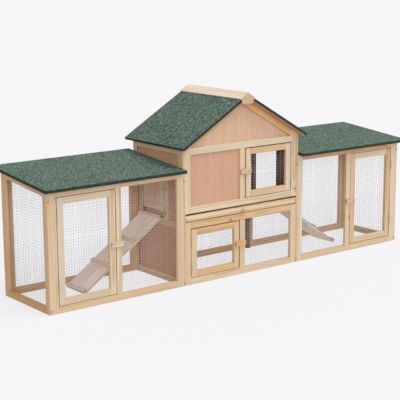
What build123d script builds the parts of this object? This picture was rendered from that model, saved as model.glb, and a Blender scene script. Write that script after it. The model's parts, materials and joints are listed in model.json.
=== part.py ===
from build123d import *
import math
import os

# Rabbit hutch: a two-storey house between two low mesh runs.
# Origin at the centre of the footprint on the floor, X along the hutch, -Y the front, +Z up.
# Every frame is made of flat boards; wire mesh is a thin sheet behind its frame.

# overall layout
frame_length = 2040.0
frame_depth = 371.0
house_width = 680.0
board_thick = 14.0
stile_width = 30.0
post_width = 28.0
rail_height = 30.0
gable_rail_height = 30.0
edge_break = 0.6

# runs
run_front_height = 514.0
run_roof_pitch = 5.5
run_top_rail = 28.0
run_end_overhang = 24.0
eave_front_overhang = 36.0
run_door_opening = 286.0
roof_wall_gap = 1.5

# house
tray_floor = 284.0
tray_slot = 8.0
upper_head = 582.0
house_pitch = 30.0
ridge_under = 812.8
eave_overhang = 15.0
rake_width = 30.0
ply_thick = 4.0
ply_recess = 9.0

# roofing
roof_board = 12.0
felt_thick = 2.0
run_felt_skirt = 13.5
house_felt_skirt = 12.0

# ridge bar, a five-sided bar that the two slopes butt against
ridge_top = 838.0
ridge_shoulder = 41.0
ridge_shoulder_z = 811.0
ridge_foot = 25.0
ridge_foot_z = 785.0
ridge_gap = 7.5
rake_notch_gap = 7.0

# doorways in the two side walls
rear_bay = 11.0
doorway_width = 160.0
doorway_head = 520.0
doorway_rail = 20.0
jamb_width = 30.0

# doors
door_stile = 30.0
door_rail = 28.0
hinge_gap = 3.0
run_latch_gap = 3.0
house_latch_gap = 5.0
door_foot_gap = 2.0
door_head_gap = 4.0

# wire mesh sheets
mesh_thick = 1.0
mesh_lap = 12.0
mesh_edge_gap = 1.0

# butt hinges, with the knuckle proud of the front
knuckle_radius = 3.0
pin_radius = 1.25
pin_clearance = 0.06
leaf_thick = 1.2
leaf_depth = 11.0
knuckle_gap = 0.4
hinge_height = 44.0
small_hinge_height = 34.0
run_hinge_inset = 85.0
house_hinge_inset = 45.0
hatch_hinge_inset = 50.0

# turn buttons
button_width = 24.0
button_thick = 9.0
button_short = 12.0
button_long = 46.0
button_gap = 0.4
button_inset = 12.0
run_button_rise = -8.0
upper_button_rise = 10.0
lower_button_rise = 6.0
screw_radius = 2.0
screw_clearance = 0.08
screw_head_radius = 4.2
screw_head_thick = 2.0
screw_depth = 10.0

# tray
tray_side_gap = 1.0
tray_lift = 0.4
tray_front_height = 29.6
tray_front_gap = 2.6
tray_base = 4.0
tray_side = 10.0
tray_side_height = 22.0
tray_back_gap = 2.0
knob_radius = 8.0
knob_neck_radius = 4.5
knob_neck_length = 7.0
knob_thick = 9.0
runner_width = 18.0
runner_height = 18.0

# ramps
ramp_width = 150.0
ramp_thick = 9.0
ramp_step = 4.0
ramp_reach = 410.0
ramp_inset = 25.0
cleat_width = 16.0
cleat_height = 9.0
cleat_end_gap = 1.0
cleat_places = (0.0, 1 / 3, 2 / 3, 1.0)

# inner hatch in the left doorway
hatch_thick = 10.0
hatch_stile = 22.0
hatch_step = 30.0
hatch_gap = 3.0
hook_rise = 96.0
hook_radius = 1.6
peg_radius = 2.2
peg_length = 9.0
hook_clearance = 0.5

# screws on the edges of the side frames
frame_screw_radius = 3.2
frame_screw_head = 1.2
frame_screw_foot = 15.0
frame_screw_upper = 470.0

yf = -frame_depth / 2
yb = frame_depth / 2
end_out = frame_length / 2
end_in = end_out - board_thick
wall_out = house_width / 2
wall_in = wall_out - board_thick
run_tan = math.tan(math.radians(run_roof_pitch))
run_cos = math.cos(math.radians(run_roof_pitch))
run_sin = math.sin(math.radians(run_roof_pitch))
gable_tan = math.tan(math.radians(house_pitch))
gable_cos = math.cos(math.radians(house_pitch))
gable_sin = math.sin(math.radians(house_pitch))
mesh_y = yf + board_thick
doorway_back = yb - stile_width - rear_bay - jamb_width
doorway_front = doorway_back - doorway_width
door_post_out = end_in - stile_width - run_door_opening
tray_bottom = tray_floor + tray_lift
upper_sill = tray_bottom + tray_front_height + tray_slot
ramp_top = tray_floor + ramp_step
ramp_front = doorway_front + ramp_inset
hatch_foot = tray_floor + hatch_step
hook_height = hatch_foot + hook_rise

os.makedirs("parts", exist_ok=True)


def block(x0, x1, y0, y1, z0, z1):
    size = (abs(x1 - x0), abs(y1 - y0), abs(z1 - z0))
    solid = Box(*size, align=(Align.MIN, Align.MIN, Align.MIN))
    return Pos(min(x0, x1), min(y0, y1), min(z0, z1)) * solid


def eased(solid):
    # planed timber has its sharp edges taken off
    return chamfer(solid.edges(), edge_break)


def board(x0, x1, y0, y1, z0, z1):
    return eased(block(x0, x1, y0, y1, z0, z1))


def prism_x(points, x0, x1):
    # a convex (y, z) outline carried from x0 to x1
    low = min(x0, x1)
    face = make_face(Polyline(*[(low, y, z) for y, z in points], close=True))
    return extrude(face, amount=abs(x1 - x0), dir=(1, 0, 0))


def prism_y(points, y0, y1):
    # a convex (x, z) outline carried from y0 to y1
    low = min(y0, y1)
    face = make_face(Polyline(*[(x, low, z) for x, z in points], close=True))
    return extrude(face, amount=abs(y1 - y0), dir=(0, 1, 0))


def rod(start, end, radius):
    axis = Vector(*end) - Vector(*start)
    plane = Plane(origin=start, z_dir=axis)
    return extrude(plane * Circle(radius), amount=axis.length)


def save(name, solids):
    flat = []
    for item in solids:
        flat.extend(item.solids())
    export_step(Compound(children=flat), f"parts/{name}.step")


def run_under(y):
    return run_front_height + (y - yf) * run_tan


def gable_under(x):
    return ridge_under - gable_tan * abs(x)


def sloped_block(x0, x1, y0, y1, z0):
    # a board with its top cut to the pitch of the run roof
    return eased(prism_x([(y0, z0), (y1, z0), (y1, run_under(y1)), (y0, run_under(y0))], x0, x1))


def gable_post(x0, x1, y0, y1, z0):
    # a post with its top cut to the pitch of the house roof
    return eased(prism_y([(x0, z0), (x1, z0), (x1, gable_under(x1)), (x0, gable_under(x0))], y0, y1))


# ---- runs, side = -1 on the left and +1 on the right ----

def run_long_frame(side, y0, y1, with_post):
    top = run_front_height - run_top_rail if y0 < 0 else run_under(y0) - run_top_rail
    solids = [sloped_block(side * (end_in - stile_width), side * end_in, y0, y1, 0)]
    solids.append(sloped_block(side * wall_out, side * (wall_out + stile_width), y0, y1, 0))
    inner = side * (wall_out + stile_width)
    outer = side * (end_in - stile_width)
    solids.append(sloped_block(inner, outer, y0, y1, top))
    solids.append(board(inner, outer, y0, y1, 0, rail_height))
    if with_post:
        post = side * (door_post_out - post_width)
        solids.append(board(post, side * door_post_out, y0, y1, rail_height, top))
    return solids


def run_end_frame(side):
    x0 = side * end_in
    x1 = side * end_out
    y0 = yf + stile_width
    y1 = yb - stile_width
    solids = [sloped_block(x0, x1, yf, y0, 0), sloped_block(x0, x1, y1, yb, 0)]
    top = [(y0, run_under(y0) - run_top_rail), (y1, run_under(y1) - run_top_rail)]
    top += [(y1, run_under(y1)), (y0, run_under(y0))]
    solids.append(eased(prism_x(top, x0, x1)))
    solids.append(board(x0, x1, y0, y1, 0, rail_height))
    return solids


def run_mesh(side):
    inner = side * (wall_out + stile_width - mesh_lap)
    post = side * (door_post_out - post_width + mesh_lap)
    outer = side * (end_in - mesh_thick - mesh_edge_gap)
    foot = rail_height - mesh_lap
    front = block(inner, post, mesh_y, mesh_y + mesh_thick, foot, run_front_height - mesh_lap)
    back_y = yb - board_thick
    head = run_under(back_y) - run_top_rail + mesh_lap
    back = block(inner, side * (end_in - stile_width + mesh_lap), back_y - mesh_thick, back_y, foot, head)
    y0 = yf + stile_width - mesh_lap
    y1 = yb - stile_width + mesh_lap
    low = [(y0, foot), (y1, foot)]
    high = [(y1, run_under(y1) - run_top_rail + mesh_lap), (y0, run_under(y0) - run_top_rail + mesh_lap)]
    end = prism_x(low + high, side * end_in, outer + side * mesh_edge_gap)
    return front, back, end


def run_roof(side):
    # board and felt, both square to the slope; the felt folds down over all four edges
    x_in = side * (wall_out + roof_wall_gap)
    x_out = side * (end_out + run_end_overhang)
    total = roof_board + felt_thick
    y0 = yf - eave_front_overhang
    y1 = yb + eave_front_overhang

    def at(y, lift):
        return (y - lift * run_sin, run_under(y) + lift * run_cos)

    under0 = y0 + total * run_sin
    under1 = y1
    board0 = under0 + felt_thick * run_cos
    board1 = under1 - felt_thick * run_cos
    x_board_in = x_in + side * felt_thick
    x_board_out = x_out - side * felt_thick
    deck = prism_x(
        [at(board0, 0), at(board1, 0), at(board1, roof_board), at(board0, roof_board)],
        x_board_in,
        x_board_out,
    )
    outer = prism_x(
        [
            at(under0, total - run_felt_skirt),
            at(under1, total - run_felt_skirt),
            at(under1, total),
            at(under0, total),
        ],
        x_in,
        x_out,
    )
    hollow = prism_x(
        [at(board0, -5), at(board1, -5), at(board1, roof_board), at(board0, roof_board)],
        x_board_in,
        x_board_out,
    )
    return deck, outer - hollow


# ---- doors ----

def door_boards(x0, x1, z0, z1, screw_x, screw_z):
    # four boards; the latch stile is drilled for the button screw
    y1 = yf + board_thick
    low = min(x0, x1)
    high = max(x0, x1)
    left = board(low, low + door_stile, yf, y1, z0, z1)
    right = board(high - door_stile, high, yf, y1, z0, z1)
    hole = rod((screw_x, yf - 1, screw_z), (screw_x, yf + screw_depth, screw_z), screw_radius)
    if screw_x < (low + high) / 2:
        left = left - hole
    else:
        right = right - hole
    solids = [left, right]
    solids.append(board(low + door_stile, high - door_stile, yf, y1, z0, z0 + door_rail))
    solids.append(board(low + door_stile, high - door_stile, yf, y1, z1 - door_rail, z1))
    return solids


def door_mesh(x0, x1, z0, z1):
    low = min(x0, x1) + door_stile - mesh_lap
    high = max(x0, x1) - door_stile + mesh_lap
    foot = z0 + door_rail - mesh_lap
    return block(low, high, mesh_y, mesh_y + mesh_thick, foot, z1 - door_rail + mesh_lap)


def hinge(axis_x, toward, z_mid, height):
    # toward = +1 when the door lies on the +X side of the pin
    axis_y = yf - knuckle_radius
    third = height / 3
    z0 = z_mid - height / 2
    z1 = z_mid + height / 2
    inner0 = z0 + third
    inner1 = z1 - third
    back = yf + leaf_depth
    start = axis_y + knuckle_radius + knuckle_gap
    face = hinge_gap / 2
    fixed_far = axis_x - toward * face
    fixed_near = axis_x - toward * (face - leaf_thick)
    fixed = [block(fixed_far, fixed_near, start, back, z0, z1)]
    moving_far = axis_x + toward * face
    moving_near = axis_x + toward * (face - leaf_thick)
    moving = block(moving_far, moving_near, start, back, z0, z1)
    moving += block(moving_far, moving_near, axis_y, start, inner0 + knuckle_gap, inner1 - knuckle_gap)
    barrel_foot = (axis_x, axis_y, inner0 + knuckle_gap)
    barrel = rod(barrel_foot, (axis_x, axis_y, inner1 - knuckle_gap), knuckle_radius)
    bore = rod((axis_x, axis_y, inner0 - 1), (axis_x, axis_y, inner1 + 1), pin_radius + pin_clearance)
    moving = (moving + barrel) - bore
    body = fixed[0]
    for low, high in ((z0, inner0), (inner1, z1)):
        body += block(fixed_far, fixed_near, axis_y, start, low, high)
        body += rod((axis_x, axis_y, low), (axis_x, axis_y, high), knuckle_radius)
    body -= rod((axis_x, axis_y, z0 - 1), (axis_x, axis_y, z1 + 1), pin_radius)
    pin = rod((axis_x, axis_y, z0), (axis_x, axis_y, z1), pin_radius)
    return body, moving, pin


def button_screw(x, z):
    front = yf - button_gap - button_thick - button_gap
    head = rod((x, front - screw_head_thick, z), (x, front, z), screw_head_radius)
    shank = rod((x, front, z), (x, yf + screw_depth, z), screw_radius)
    return head + shank


def turn_button(x, z, toward):
    # toward = the way the long end points, across the gap to the post
    y0 = yf - button_gap - button_thick
    bar = block(
        x - toward * button_short,
        x + toward * button_long,
        y0,
        yf - button_gap,
        z - button_width / 2,
        z + button_width / 2,
    )
    bar = chamfer(bar.edges().filter_by(Axis.Y), 3)
    hole = rod((x, y0 - 1, z), (x, yf, z), screw_radius + screw_clearance)
    return bar - hole


def make_door(name, x_hinge, x_latch, z0, z1, button_rise, hinge_inset, height):
    side = 1 if x_latch > x_hinge else -1
    button_z = (z0 + z1) / 2 + button_rise
    screw_x = x_latch - side * button_inset
    save(f"{name}_frame", door_boards(x_hinge, x_latch, z0, z1, screw_x, button_z))
    save(f"{name}_mesh", [door_mesh(x_hinge, x_latch, z0, z1)])
    axis_x = x_hinge - side * hinge_gap / 2
    leaves = []
    fixed = []
    pins = []
    for z in (z0 + hinge_inset, z1 - hinge_inset):
        body, moving, pin = hinge(axis_x, side, z, height)
        fixed.append(body)
        leaves.append(moving)
        pins.append(pin)
    save(f"{name}_fittings", leaves + [button_screw(screw_x, button_z)])
    save(f"{name}_button", [turn_button(screw_x, button_z, side)])
    return fixed, pins


# ---- house ----

def side_wall(side, low_storey):
    x0 = side * wall_in
    x1 = side * wall_out
    head = upper_head + 4
    solids = [gable_post(x0, x1, yf, yf + stile_width, 0), gable_post(x0, x1, yb - stile_width, yb, 0)]
    y0 = yf + stile_width
    y1 = yb - stile_width
    solids.append(gable_post(x0, x1, y0, y1, head))
    solids.append(board(x0, x1, y0, y1, tray_floor - rail_height, tray_floor))
    rail_top = doorway_head + doorway_rail
    solids.append(board(x0, x1, doorway_front - jamb_width, doorway_front, tray_floor, rail_top))
    solids.append(board(x0, x1, doorway_back, doorway_back + jamb_width, tray_floor, rail_top))
    solids.append(board(x0, x1, doorway_front, doorway_back, doorway_head, rail_top))
    if low_storey:
        solids.append(board(x0, x1, y0, y1, 0, rail_height))
    return solids


def wall_panels(side, low_storey):
    x0 = side * (wall_in + (board_thick - ply_thick) / 2)
    x1 = x0 + side * ply_thick
    head = upper_head + 4
    y0 = yf + stile_width
    y1 = yb - stile_width
    rail_top = doorway_head + doorway_rail
    solids = [block(x0, x1, y0, doorway_front - jamb_width, tray_floor, rail_top)]
    solids.append(block(x0, x1, doorway_back + jamb_width, y1, tray_floor, rail_top))
    solids.append(block(x0, x1, y0, y1, rail_top, head))
    if low_storey:
        solids.append(block(x0, x1, y0, y1, rail_height, tray_floor - rail_height))
    return solids


def rake(side, y0, y1, inner):
    # the batten under the slope, from the ridge bar down to the post
    fall = rake_width / gable_cos
    rail_top = upper_head + gable_rail_height
    foot_x = (ridge_under - fall - rail_top) / gable_tan
    notch = ridge_foot + rake_notch_gap
    points = [(0, ridge_under - fall), (0, ridge_foot_z), (notch, ridge_foot_z)]
    points += [(notch, gable_under(notch)), (inner, gable_under(inner)), (inner, rail_top), (foot_x, rail_top)]
    return eased(prism_y([(side * x, z) for x, z in points], y0, y1))


def gable_triangle(y0, y1):
    fall = rake_width / gable_cos
    rail_top = upper_head + gable_rail_height
    foot_x = (ridge_under - fall - rail_top) / gable_tan
    return prism_y([(-foot_x, rail_top), (foot_x, rail_top), (0, ridge_under - fall)], y0, y1)


def house_roof(side):
    total = roof_board + felt_thick
    start = ridge_foot + ridge_gap
    end = wall_out + eave_overhang

    def at(x, lift):
        return (side * (x + lift * gable_sin), gable_under(x) + lift * gable_cos)

    board_end = end - felt_thick * gable_cos
    y0 = yf - eave_front_overhang
    y1 = yb + eave_front_overhang
    deck = prism_y(
        [at(start, 0), at(board_end, 0), at(board_end, roof_board), at(start, roof_board)],
        y0 + felt_thick,
        y1 - felt_thick,
    )
    low = total - house_felt_skirt
    outer = prism_y([at(start, low), at(end, low), at(end, total), at(start, total)], y0, y1)
    hollow = prism_y(
        [at(start - 5, -5), at(board_end, -5), at(board_end, roof_board), at(start - 5, roof_board)],
        y0 + felt_thick,
        y1 - felt_thick,
    )
    return deck, outer - hollow


def ramp(side):
    # a plank with a square foot that stands on its lower edge; its cleats run from end to end
    angle = math.atan(ramp_top / ramp_reach)
    for _ in range(30):
        angle = math.atan((ramp_top - ramp_thick * math.cos(angle)) / ramp_reach)
    along = (math.cos(angle), -math.sin(angle))
    up = (math.sin(angle), math.cos(angle))
    length = ramp_reach / along[0]
    x0 = wall_out + 0.5
    head = ramp_top - 0.5 * math.tan(angle)
    foot = (wall_out + ramp_reach, ramp_thick * up[1])
    heel = (foot[0] - ramp_thick * up[0], 0)
    y1 = ramp_front + ramp_width
    points = [(x0, head), foot, heel, (x0, head - ramp_thick / math.cos(angle))]
    plank = prism_y([(side * x, z) for x, z in points], ramp_front, y1)
    first = cleat_width / 2 + cleat_end_gap
    cleats = []
    for place in cleat_places:
        reach = first + (length - 2 * first) * place
        mid = (wall_out + along[0] * reach, ramp_top + along[1] * reach)
        corners = []
        for a, b in ((-1, 0), (1, 0), (1, 1), (-1, 1)):
            x = mid[0] + along[0] * a * cleat_width / 2 + up[0] * b * cleat_height
            z = mid[1] + along[1] * a * cleat_width / 2 + up[1] * b * cleat_height
            corners.append((side * x, z))
        cleats.append(eased(prism_y(corners, ramp_front, y1)))
    return plank, cleats


# runs
for side, name in ((-1, "left"), (1, "right")):
    save(f"{name}_end_frame", run_end_frame(side))
    save(f"{name}_run_front_frame", run_long_frame(side, yf, yf + board_thick, True))
    save(f"{name}_run_back_frame", run_long_frame(side, yb - board_thick, yb, False))
    front, back, end = run_mesh(side)
    save(f"{name}_run_mesh", [front, back, end])
    deck, felt = run_roof(side)
    save(f"{name}_run_roof_board", [deck])
    save(f"{name}_run_roof_felt", [felt])

# four doors
run_head = run_front_height - run_top_rail
fixed = []
pins = []
for side, name in ((-1, "left"), (1, "right")):
    door = make_door(
        f"{name}_run_door",
        side * (end_in - stile_width - hinge_gap),
        side * (door_post_out + run_latch_gap),
        rail_height + door_foot_gap,
        run_head - door_head_gap,
        run_button_rise,
        run_hinge_inset,
        hinge_height,
    )
    fixed += door[0]
    pins += door[1]
door = make_door(
    "upper_door",
    wall_in - stile_width - hinge_gap,
    stile_width / 2 + house_latch_gap,
    upper_sill + rail_height + door_foot_gap,
    upper_head - door_head_gap,
    upper_button_rise,
    house_hinge_inset,
    small_hinge_height,
)
fixed += door[0]
pins += door[1]
door = make_door(
    "lower_door",
    -(wall_in - stile_width - hinge_gap),
    -(stile_width / 2 + house_latch_gap),
    rail_height + door_foot_gap,
    tray_floor - rail_height - door_head_gap,
    lower_button_rise,
    house_hinge_inset,
    small_hinge_height,
)
fixed += door[0]
pins += door[1]

# house side walls
save("left_wall_frame", side_wall(-1, True))
save("left_wall_panels", wall_panels(-1, True))
save("right_wall_frame", side_wall(1, False))
save("right_wall_panels", wall_panels(1, False))

# house front
post_in = wall_in - stile_width
half_post = stile_width / 2
gable_rail = upper_head + gable_rail_height
front1 = yf + board_thick
upper = [gable_post(post_in, wall_in, yf, front1, upper_sill)]
upper.append(gable_post(-wall_in, -post_in, yf, front1, upper_sill))
upper.append(board(-post_in, post_in, yf, front1, upper_sill, upper_sill + rail_height))
upper.append(board(-post_in, post_in, yf, front1, upper_head, gable_rail))
upper.append(board(-half_post, half_post, yf, front1, upper_sill + rail_height, upper_head))
save("upper_front_frame", upper)
panel_y = yf + ply_recess
panel_foot = upper_sill + rail_height
upper_panel = block(-post_in, -half_post, panel_y, panel_y + ply_thick, panel_foot, upper_head)
save("upper_front_panel", [upper_panel])
save("front_gable_panel", [gable_triangle(panel_y, panel_y + ply_thick)])
rakes = [rake(-1, yf, front1, post_in), rake(1, yf, front1, post_in)]
lower = [block(post_in, wall_in, yf, front1, 0, tray_floor)]
lower.append(block(-wall_in, -post_in, yf, front1, 0, tray_floor))
lower.append(board(-post_in, post_in, yf, front1, 0, rail_height))
lower.append(board(-post_in, post_in, yf, front1, tray_floor - rail_height, tray_floor))
lower.append(board(-half_post, half_post, yf, front1, rail_height, tray_floor - rail_height))
save("lower_front_frame", lower)
low_z = rail_height - mesh_lap
high_z = tray_floor - rail_height + mesh_lap
house_mesh = [block(half_post - mesh_lap, post_in + mesh_lap, mesh_y, mesh_y + mesh_thick, low_z, high_z)]

# house back
back0 = yb - board_thick
rear = [gable_post(post_in, wall_in, back0, yb, 0), gable_post(-wall_in, -post_in, back0, yb, 0)]
rear.append(board(-post_in, post_in, back0, yb, 0, rail_height))
rear.append(board(-post_in, post_in, back0, yb, tray_floor - rail_height, tray_floor))
rear.append(board(-post_in, post_in, back0, yb, upper_head, gable_rail))
rear.append(board(-half_post, half_post, back0, yb, rail_height, tray_floor - rail_height))
save("back_frame", rear)
back_ply = yb - ply_recess
panels = [block(-post_in, post_in, back_ply - ply_thick, back_ply, tray_floor, upper_head)]
panels.append(gable_triangle(back_ply - ply_thick, back_ply))
save("back_panels", panels)
rakes += [rake(-1, back0, yb, post_in), rake(1, back0, yb, post_in)]
save("rake_battens", rakes)
house_mesh.append(block(-post_in - mesh_lap, post_in + mesh_lap, back0 - mesh_thick, back0, low_z, high_z))
save("house_mesh", house_mesh)

# house roof
for side, name in ((-1, "left"), (1, "right")):
    deck, felt = house_roof(side)
    save(f"{name}_slope_board", [deck])
    save(f"{name}_slope_felt", [felt])
half = [(ridge_foot, ridge_foot_z), (ridge_shoulder, ridge_shoulder_z)]
outline = half + [(0, ridge_top)] + [(-x, z) for x, z in reversed(half)]
save("ridge_bar", [eased(prism_y(outline, yf - eave_front_overhang, yb + eave_front_overhang))])

# slide-out tray, which is also the upper floor
tray_half = wall_in - tray_side_gap
tray_back = yb - board_thick - tray_back_gap
tray_top = tray_bottom + tray_side_height
inner_y = yf + board_thick
tray = [block(-tray_half, tray_half, inner_y, tray_back, tray_bottom, tray_bottom + tray_base)]
side_base = tray_bottom + tray_base
tray.append(block(-tray_half, -tray_half + tray_side, inner_y, tray_back, side_base, tray_top))
tray.append(block(tray_half - tray_side, tray_half, inner_y, tray_back, side_base, tray_top))
tray_inner = tray_half - tray_side
tray.append(block(-tray_inner, tray_inner, tray_back - tray_side, tray_back, side_base, tray_top))
save("tray_box", tray)
tray_head = tray_bottom + tray_front_height
tray_foot = tray_bottom + tray_front_gap
save("tray_front", [board(-tray_half, tray_half, yf, inner_y, tray_foot, tray_head)])
knob_z = (tray_foot + tray_head) / 2
knob = rod((0, yf - knob_neck_length, knob_z), (0, yf, knob_z), knob_neck_radius)
head = rod((0, yf - knob_neck_length - knob_thick, knob_z), (0, yf - knob_neck_length, knob_z), knob_radius)
head = fillet(head.edges().filter_by(GeomType.CIRCLE), 2.5)
save("tray_knob", [knob + head])
runners = []
for side in (-1, 1):
    inner = side * (wall_in - runner_width)
    runners.append(board(inner, side * wall_in, front1, back0, tray_floor - runner_height, tray_floor))
save("tray_runners", runners)

# ramps
all_cleats = []
for side, name in ((-1, "left"), (1, "right")):
    plank, cleats = ramp(side)
    save(f"{name}_ramp_board", [plank])
    all_cleats += cleats
save("ramp_cleats", all_cleats)

# hatch in the left doorway, hinged on its rear edge, opening into the run
hx0 = -wall_out
hx1 = -wall_out + hatch_thick
h_back = doorway_back - hatch_gap
h_front = doorway_front + hatch_gap
h_top = doorway_head - hatch_gap
hatch = [board(hx0, hx1, h_front, h_front + hatch_stile, hatch_foot, h_top)]
hatch.append(board(hx0, hx1, h_back - hatch_stile, h_back, hatch_foot, h_top))
mid0 = h_front + hatch_stile
mid1 = h_back - hatch_stile
hatch.append(board(hx0, hx1, mid0, mid1, hatch_foot, hatch_foot + hatch_stile))
hatch.append(board(hx0, hx1, mid0, mid1, h_top - hatch_stile, h_top))
save("hatch_frame", hatch)
ply_x = -wall_out + 3
hatch_ply = block(ply_x, ply_x + ply_thick, mid0, mid1, hatch_foot + hatch_stile, h_top - hatch_stile)
save("hatch_panel", [hatch_ply])
turn = Plane(origin=(-wall_out, doorway_back, 0), x_dir=(0, -1, 0), z_dir=(0, 0, 1))
leaves = []
for z in (hatch_foot + hatch_hinge_inset, h_top - hatch_hinge_inset):
    body, moving, pin = hinge(hinge_gap / 2, 1, z, small_hinge_height)
    shift = Pos(0, -yf, 0)
    fixed.append(turn.location * (shift * body))
    leaves.append(turn.location * (shift * moving))
    pins.append(turn.location * (shift * pin))
save("hatch_leaves", leaves)
# the hook is a bent wire on the hatch that drops over a peg in the jamb
pivot_y = h_front + hatch_stile / 2
peg_y = doorway_front - jamb_width / 2
hook_x = -wall_out - 4.0
tip_y = peg_y - peg_radius - hook_clearance - hook_radius
bar_z = hook_height + peg_radius + hook_clearance + hook_radius
tip_z = hook_height - 6
hook = rod((-wall_out - hook_clearance, pivot_y, bar_z), (hook_x - hook_radius, pivot_y, bar_z), 3.4)
hook += rod((hook_x, pivot_y, bar_z), (hook_x, tip_y, bar_z), hook_radius)
hook += Pos(hook_x, tip_y, bar_z) * Sphere(hook_radius)
hook += rod((hook_x, tip_y, bar_z), (hook_x, tip_y, tip_z), hook_radius)
save("hatch_hook", [hook])
peg = rod((-wall_out, peg_y, hook_height), (-wall_out - peg_length, peg_y, hook_height), peg_radius)
save("hatch_peg", [peg])

save("fixed_hinge_leaves", fixed)
save("hinge_pins", pins)

# screw heads on the front edges of the four side frames
heads = []
for x in (end_out - board_thick / 2, wall_out - board_thick / 2):
    for side in (-1, 1):
        for z in (frame_screw_foot, frame_screw_upper):
            heads.append(rod((side * x, yf, z), (side * x, yf - frame_screw_head, z), frame_screw_radius))
save("frame_screws", heads)
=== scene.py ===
import json
import math
import random

import bmesh
import bpy
from mathutils import Matrix, Vector

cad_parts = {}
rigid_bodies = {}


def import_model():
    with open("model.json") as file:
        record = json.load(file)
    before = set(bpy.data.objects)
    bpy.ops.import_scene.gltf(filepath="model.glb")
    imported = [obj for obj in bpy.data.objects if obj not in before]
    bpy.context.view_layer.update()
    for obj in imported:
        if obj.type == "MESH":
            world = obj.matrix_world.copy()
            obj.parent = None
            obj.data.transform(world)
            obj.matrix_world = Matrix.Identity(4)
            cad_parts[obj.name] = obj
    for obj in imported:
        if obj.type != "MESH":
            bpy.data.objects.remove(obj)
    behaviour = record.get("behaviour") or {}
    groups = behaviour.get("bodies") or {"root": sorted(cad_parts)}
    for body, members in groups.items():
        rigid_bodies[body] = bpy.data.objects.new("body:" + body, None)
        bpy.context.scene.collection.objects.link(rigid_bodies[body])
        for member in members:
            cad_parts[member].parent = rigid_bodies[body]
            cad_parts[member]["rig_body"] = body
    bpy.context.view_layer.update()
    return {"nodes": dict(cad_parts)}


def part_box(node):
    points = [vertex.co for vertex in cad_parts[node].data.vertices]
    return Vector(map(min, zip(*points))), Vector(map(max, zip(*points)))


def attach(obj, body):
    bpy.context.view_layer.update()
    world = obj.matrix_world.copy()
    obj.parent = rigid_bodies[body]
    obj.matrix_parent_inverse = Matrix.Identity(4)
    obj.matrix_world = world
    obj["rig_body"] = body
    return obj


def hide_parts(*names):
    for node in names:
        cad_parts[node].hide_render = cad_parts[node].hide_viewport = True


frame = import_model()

# A wooden rabbit hutch: a two-storey house between two low mesh runs.
# Metres throughout, X along the hutch, the front towards -Y, the floor at Z = 0.
cadNodes = frame["nodes"]
weldGap = 0.00001    # the CAD mesh is loose triangles, joined within this distance


# ---- camera, floor and light ----

studio = {
    "cameraPlace": (-3.2722, -4.0509, 1.3991),
    "azimuth": 38.064,      # degrees from +Y towards +X
    "fall": 11.758,         # degrees below level
    "roll": -0.292,
    "lens": 102.68,
    "sensor": 36.0,
    "reach": 1000,
    "floorHalf": 200.0,
    "floorShade": "#6A6A6C",
    "floorGlow": 0.805,      # the paper floor's own light, so that shadows on it stay faint
    "sky": "#F6F6F8",
    "skyStrength": 1.0,
    "dimmed": 0.62,         # the part of the sky's and the floor's light that falls on the hutch
    # soft boxes: where each shines from, its power, and its width in degrees
    "lamps": {
        "highSoftBox": ((0.4, -0.35, 0.9), 1.8, 40.0),
        "frontSoftBox": ((-0.45, -0.9, 0.16), 2.4, 55.0),
        "backSoftBox": ((0.4, 0.9, 0.25), 0.6, 60.0),
    },
}


def toLinear(hexCode, alpha=1.0):
    parts = [int(hexCode[i:i + 2], 16) / 255 for i in (1, 3, 5)]
    return tuple(p / 12.92 if p <= 0.04045 else ((p + 0.055) / 1.055) ** 2.4 for p in parts) + (alpha,)


def addNode(tree, kind, settings=None, links=None, out=0):
    # one node: its settings, then its sockets, each given a value or another node's output;
    # gives back one output, or the node itself where out is None
    made = tree.nodes.new(kind)
    for name, value in (settings or {}).items():
        setattr(made, name, value)
    for socket, value in (links or {}).items():
        if isinstance(value, bpy.types.NodeSocket):
            tree.links.new(value, made.inputs[socket])
        else:
            made.inputs[socket].default_value = value
    return made if out is None else made.outputs[out]


def startMaterial(name):
    material = bpy.data.materials.new(name)
    material.use_nodes = True
    tree = material.node_tree
    return material, tree, tree.nodes["Principled BSDF"]


def makeCamera():
    azimuth = math.radians(studio["azimuth"])
    fall = math.radians(studio["fall"])
    roll = math.radians(studio["roll"])
    level = math.cos(fall)
    ahead = Vector((math.sin(azimuth) * level, math.cos(azimuth) * level, -math.sin(fall)))
    right = Vector((math.cos(azimuth), -math.sin(azimuth), 0))
    up = right.cross(ahead)
    side = right * math.cos(roll) + up * math.sin(roll)
    top = up * math.cos(roll) - right * math.sin(roll)
    turn = Matrix((side, top, -ahead)).transposed()
    data = bpy.data.cameras.new("studioCamera")
    data.lens = studio["lens"]
    data.sensor_width = studio["sensor"]
    data.clip_end = studio["reach"]
    camera = bpy.data.objects.new("studioCamera", data)
    camera.matrix_world = Matrix.Translation(Vector(studio["cameraPlace"])) @ turn.to_4x4()
    bpy.context.scene.collection.objects.link(camera)
    bpy.context.scene.camera = camera


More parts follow.
